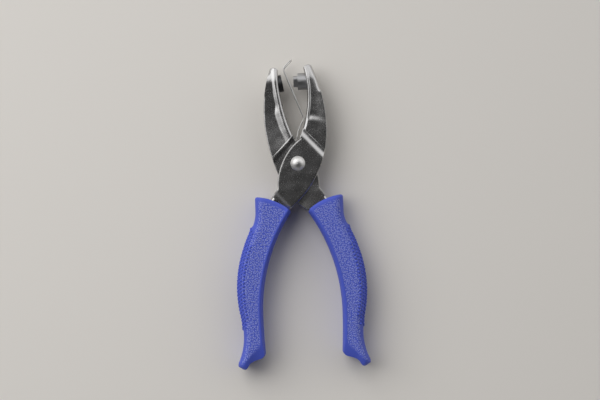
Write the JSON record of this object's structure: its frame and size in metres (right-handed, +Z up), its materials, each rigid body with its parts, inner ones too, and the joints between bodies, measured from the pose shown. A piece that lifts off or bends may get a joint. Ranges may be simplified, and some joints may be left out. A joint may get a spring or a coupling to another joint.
{
  "type": "craft punch",
  "caption": "Plier-type hand punch that cuts a small heart: pressed steel levers crossing at a rivet, soft sleeve grips, sprung handles and a wire paper stripper.",
  "frame": {"origin": "middle of the tool's outline, on the surface it lies on", "axes": "+Y toward the jaw tips, +Z up, toward the rivet's domed head; the punch jaw is on the +X side"},
  "size_m": [0.0686, 0.1588, 0.0167],
  "materials": {
    "plated_steel": "satin nickel plate",
    "rivet_steel": "bright plate",
    "tool_steel": "turned",
    "spring_wire": "drawn wire",
    "soft_grip": "grained, with raised dots"
  },
  "bodies": {
    "punch_side": {"punch_lever": "plated_steel", "punch": "tool_steel", "left_grip": "soft_grip", "pivot_rivet": "rivet_steel", "rivet_washer": "rivet_steel", "spacer_bush": "tool_steel", "stripper_base": "spring_wire", "return_spring": "spring_wire"},
    "die_side": {"die_lever": "plated_steel", "die_bush": "tool_steel", "right_grip": "soft_grip"},
    "stripper": {"stripper_fork": "spring_wire"}
  },
  "joints": [
    {"name": "squeeze", "type": "hinge", "parent": "punch_side", "child": "die_side", "pos_m": [0, 0.02573, 0.008], "axis": [0, 0, -1], "range_deg": [0, 10.4], "stiffness_Nm_per_rad": 1.2, "springref_deg": -8.59, "deforming": ["return_spring"]},
    {"name": "stripper_flex", "type": "hinge", "parent": "punch_side", "child": "stripper", "pos_m": [0.00407, 0.04853, 0.008], "axis": [0, 0, -1], "range_deg": [0, 15.6]}
  ],
  "couplings": [
    {"joint": "stripper_flex", "follows": "squeeze", "ratio": 1.5}
  ]
}
